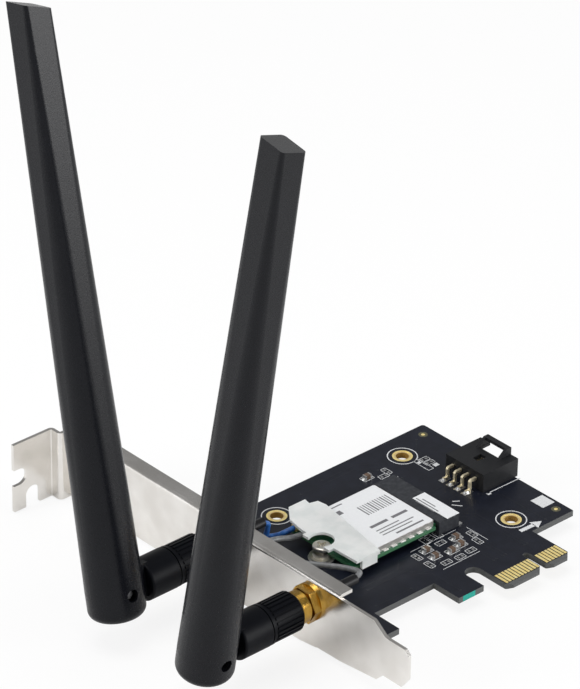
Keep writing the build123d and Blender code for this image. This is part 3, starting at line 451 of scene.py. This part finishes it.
# Stand-off and screws: turned steel with bright nickel, a cross pressed in the heads. The stand-off is
# soldered inside a tinned ring, and the hinge pins are plain steel.
bright_steel, shader, place = new_finish("bright_steel_finish", Metallic=1.0)
feed(place.noise(700.0).blend((0.78, 0.755, 0.68, 1), (0.90, 0.875, 0.80, 1)), shader, "Base Color")
feed(0.26 + 0.08 * place.noise(1800.0), shader, "Roughness")
feed(place.noise(2600.0).bump(0.06, 0.00002), shader, "Normal")
dress(bright_steel, "bracket_screws", "m2_screw", "m2_standoff")

dark_steel, shader, place = new_finish("pin_steel_finish", Metallic=1.0)
feed(place.noise(1800.0).blend((0.10, 0.10, 0.105, 1), (0.19, 0.19, 0.195, 1)), shader, "Base Color")
feed(0.30 + 0.14 * place.noise(3000.0), shader, "Roughness")
dress(dark_steel, "left_hinge_pin", "right_hinge_pin")
standoff_pad = bmesh.new()
hoop(standoff_pad, (-36.6, 37.2), 3.0, 0.4, 0.0, pad)
fit_piece(standoff_pad, "standoff_pad", "tin", tin)

# Cable clip: natural translucent plastic, moulded, hooked over the module's end to hold the plugs.
# Light passes through its thin plate, and its skin is frosted.
clip_plastic, shader, place = new_finish("clip_finish", IOR=1.49, Transmission_Weight=0.3)
feed(place.noise(260.0, 3.0).fade(0.35, 0.65).blend((0.86, 0.89, 0.88, 1), (0.97, 0.98, 0.97, 1)),
     shader, "Base Color")
feed(0.42 + 0.16 * place.noise(1500.0), shader, "Roughness")
feed(place.noise(2600.0).bump(0.12, 0.00003), shader, "Normal")
dress(clip_plastic, "antenna_clip")

# Bracket: nickel-plated sheet steel, punched and folded. A fine rolled grain runs along it, and the
# plating is warm and a little cloudy.
nickel_sheet, shader, place = new_finish("bracket_finish", Metallic=1.0)
grain = place.stretch(1, 0.06, 1).noise(2600.0, 3.0)
cloud = place.noise(120.0, 3.0)
feed(cloud.fade(0.3, 0.7).blend((0.75, 0.725, 0.69, 1), (0.86, 0.84, 0.81, 1)), shader, "Base Color")
feed(0.15 + 0.08 * grain + 0.08 * cloud, shader, "Roughness")
feed(grain.bump(0.10, 0.00002), shader, "Normal")
dress(nickel_sheet, "io_bracket")

# Jacks: gold-plated turned bodies with white insulators, nuts and washers, and shrunk black sleeves.
# They pass through the bracket and are tightened from outside; the barrel carries a fine thread.
gilt, shader, place = new_finish("turned_gilt_finish", Metallic=1.0)
thread = place.waves(700.0, "X")
feed(place.noise(700.0).blend((0.43, 0.24, 0.036, 1), (0.62, 0.39, 0.09, 1)), shader, "Base Color")
feed(0.17 + 0.12 * place.stretch(1, 0.2, 0.2).noise(5200.0), shader, "Roughness")
feed(thread.bump(0.35, 0.00012), shader, "Normal")
dress(gilt, "jack_bodies", "jack_washers", "jack_nuts", "left_nut_insert", "right_nut_insert",
      "left_plug_core", "right_plug_core", "left_radiator", "right_radiator")
dress(gold, "jack_pins", "coax_plugs", "left_plug_contact", "right_plug_contact")

white_moulding, shader, place = new_finish("insulator_finish")
feed(place.noise(900.0).blend((0.74, 0.74, 0.72, 1), (0.84, 0.84, 0.82, 1)), shader, "Base Color")
feed(0.40 + 0.12 * place.noise(1800.0), shader, "Roughness")
feed(place.noise(3600.0).bump(0.1, 0.00002), shader, "Normal")
dress(white_moulding, "jack_insulators", "left_plug_insulator", "right_plug_insulator")

shrunk_sleeve, shader, place = new_finish("sleeve_finish", Specular_IOR_Level=0.2)
feed(place.noise(900.0).blend((0.005, 0.005, 0.006, 1), (0.010, 0.010, 0.011, 1)), shader, "Base Color")
feed(0.36 + 0.16 * place.noise(1400.0), shader, "Roughness")
feed(place.stretch(0.3, 1, 1).noise(2200.0).bump(0.25, 0.00006), shader, "Normal")
dress(shrunk_sleeve, "jack_sleeves")

# Coaxial leads: thin jacketed cables from the jack sleeves to the plugs on the radio module.
# Extruded jackets, one grey and one blue, bent tightly where they leave the sleeves.


def jacket(name, colour, dark):
    material, shader, place = new_finish(name)
    feed(place.noise(900.0).fade(0.3, 0.7).blend(dark, colour), shader, "Base Color")
    feed(0.30 + 0.16 * place.noise(2500.0), shader, "Roughness")
    feed(place.noise(5200.0, 3.0).bump(0.15, 0.00003), shader, "Normal")
    return material


def coax(name, node, points, material):
    curve = bpy.data.curves.new(name, "CURVE")
    curve.dimensions = "3D"
    curve.bevel_depth = 0.00066
    curve.bevel_resolution = 5
    curve.resolution_u = 12
    curve.use_fill_caps = True
    spline = curve.splines.new("NURBS")
    spline.points.add(len(points) - 1)
    for point, at in zip(spline.points, points):
        point.co = (at[0] / 1000, at[1] / 1000, at[2] / 1000, 1)
    spline.order_u = 3
    spline.use_endpoint_u = True
    lead = bpy.data.objects.new(name, curve)
    bpy.context.collection.objects.link(lead)
    curve.materials.append(material)
    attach(lead, "card")
    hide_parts(node)
    return lead


grey_lead = coax("grey_lead", "coax_grey", [
    (-51.19, 16.6, 8.0), (-42.49, 16.6, 8.0), (-42.79, 19.8, 8.0), (-46.2, 25.0, 7.9), (-50.4, 31.0, 7.4),
    (-51.2, 38.6, 6.6), (-48.8, 45.0, 5.0), (-43.2, 45.6, 3.8), (-39.4, 43.6, 3.3), (-36.6, 43.6, 3.3),
], jacket("grey_jacket_finish", (0.19, 0.195, 0.20, 1), (0.12, 0.125, 0.13, 1)))

blue_lead = coax("blue_lead", "coax_blue", [
    (-51.19, 48.0, 8.0), (-43.29, 48.0, 8.0), (-43.69, 48.2, 4.6), (-44.6, 48.5, 2.0), (-48.4, 49.6, 0.9),
    (-48.2, 53.4, 0.8), (-43.4, 52.6, 0.8), (-40.0, 48.8, 1.6), (-39.0, 46.8, 3.3), (-36.6, 46.8, 3.3),
], jacket("blue_jacket_finish", (0.02, 0.12, 0.38, 1), (0.012, 0.07, 0.26, 1)))

# Antennas: black injection moulding with a fine spark-eroded texture on mast, elbow and coupling nut.
# The mast turns on a steel pin in its fork, and the nut is turned by its flutes.
antenna_moulding, shader, place = new_finish("antenna_moulding_finish", Specular_IOR_Level=0.19)
texture = place.noise(3600.0, 3.0, 0.6)
feed(place.noise(160.0, 3.0).blend((0.0026, 0.0030, 0.0048, 1), (0.0046, 0.0052, 0.0075, 1)),
     shader, "Base Color")
feed(0.23 + 0.10 * texture, shader, "Roughness")
feed(texture.bump(0.30, 0.00005), shader, "Normal")
dress(antenna_moulding, "left_mast", "right_mast")

grip_moulding, shader, place = new_finish("grip_moulding_finish", Specular_IOR_Level=0.08)
feed(place.noise(400.0, 3.0).blend((0.0022, 0.0026, 0.0042, 1), (0.0040, 0.0046, 0.0066, 1)),
     shader, "Base Color")
feed(0.38 + 0.12 * place.noise(3600.0, 3.0), shader, "Roughness")
feed(place.noise(4200.0, 3.0).bump(0.25, 0.00004), shader, "Normal")
dress(grip_moulding, "left_elbow", "right_elbow", "left_coupling_nut", "right_coupling_nut")

# Studio: a pale floor under the card, a soft overhead light with one at each side, and a long lens from
# above the bracket's lower corner. Floor and horizon are white, also in metal, and the ceiling is dim.
white, shader, place = new_finish("floor_finish", Base_Color=(0.9, 0.9, 0.9, 1), Roughness=0.9)
tree = white.node_tree
rays = tree.nodes.new("ShaderNodeLightPath")
seen = Field(tree, rays.outputs["Is Camera Ray"]) + 0.3 * Field(tree, rays.outputs["Is Glossy Ray"])
seen = (seen + Field(tree, rays.outputs["Is Transmission Ray"])).fade(0.0, 1.0)
glow = place.node("ShaderNodeEmission", 0, {}, {"Color": (1, 1, 1, 1), "Strength": 1.0})
matt = Field(tree, shader.outputs[0])
mixed = place.node("ShaderNodeMixShader", 0, {}, {0: seen * 0.85, 1: matt, 2: glow})
tree.links.new(mixed.socket, tree.nodes["Material Output"].inputs["Surface"])
slab = bmesh.new()
bmesh.ops.create_grid(slab, x_segments=1, y_segments=1, size=3.0)
bmesh.ops.translate(slab, verts=slab.verts, vec=(0, 0, cad_box[0][2] - 0.0004))
floor_mesh = bpy.data.meshes.new("floor")
slab.to_mesh(floor_mesh)
slab.free()
floor = bpy.data.objects.new("floor", floor_mesh)
bpy.context.collection.objects.link(floor)
floor_mesh.materials.append(white)

world = bpy.data.worlds.new("studio")
world.use_nodes = True
bpy.context.scene.world = world
tree = world.node_tree
rays = tree.nodes.new("ShaderNodeLightPath")
seen = Field(tree, rays.outputs["Is Camera Ray"])
mirrored = Field(tree, rays.outputs["Is Glossy Ray"]) + Field(tree, rays.outputs["Is Transmission Ray"])
height = Field(tree, tree.nodes.new("ShaderNodeTexCoord").outputs["Generated"]).axes()[2]
seen = seen + mirrored * (1.0 - 1.17 * height.fade(0.12, 0.42))
tree.links.new((0.36 + seen * 0.64).socket, tree.nodes["Background"].inputs["Strength"])
tree.nodes["Background"].inputs["Color"].default_value = (1, 1, 1, 1)


def soft_light(name, at, aim, size, power):
    lamp = bpy.data.lights.new(name, "AREA")
    lamp.shape = "DISK"
    lamp.size = size
    lamp.energy = power
    light = bpy.data.objects.new(name, lamp)
    light.location = at
    light.rotation_euler = (Vector(aim) - Vector(at)).to_track_quat("-Z", "Y").to_euler()
    bpy.context.collection.objects.link(light)


soft_light("overhead", (-0.15, 0.10, 0.95), (-0.04, 0.04, 0.02), 0.7, 4.6)
soft_light("left_side", (-0.90, 0.30, 0.40), (-0.05, 0.04, 0.08), 0.5, 4.6)
soft_light("right_side", (0.50, -0.80, 0.26), (-0.07, 0.04, 0.09), 0.6, 7.6)

camera = bpy.data.objects.new("camera", bpy.data.cameras.new("camera"))
bpy.context.collection.objects.link(camera)
bpy.context.scene.camera = camera
sensor = 36.0
focal_pixels = 4500.0
frame_height = 689.0
camera.data.sensor_width = sensor
camera.data.lens = focal_pixels * sensor / frame_height
camera.data.clip_end = 20.0
right = Vector((0.74135, -0.67099, 0.01331))
down = Vector((-0.3318, -0.38368, -0.8618))
ahead = Vector((0.58336, 0.63448, -0.50707))
camera.matrix_world = Matrix.Translation((-0.63341, -0.60003, 0.57058)) @ Matrix((
    (right.x, -down.x, -ahead.x), (right.y, -down.y, -ahead.y), (right.z, -down.z, -ahead.z),
)).to_4x4()
bpy.context.scene.view_settings.view_transform = "Standard"
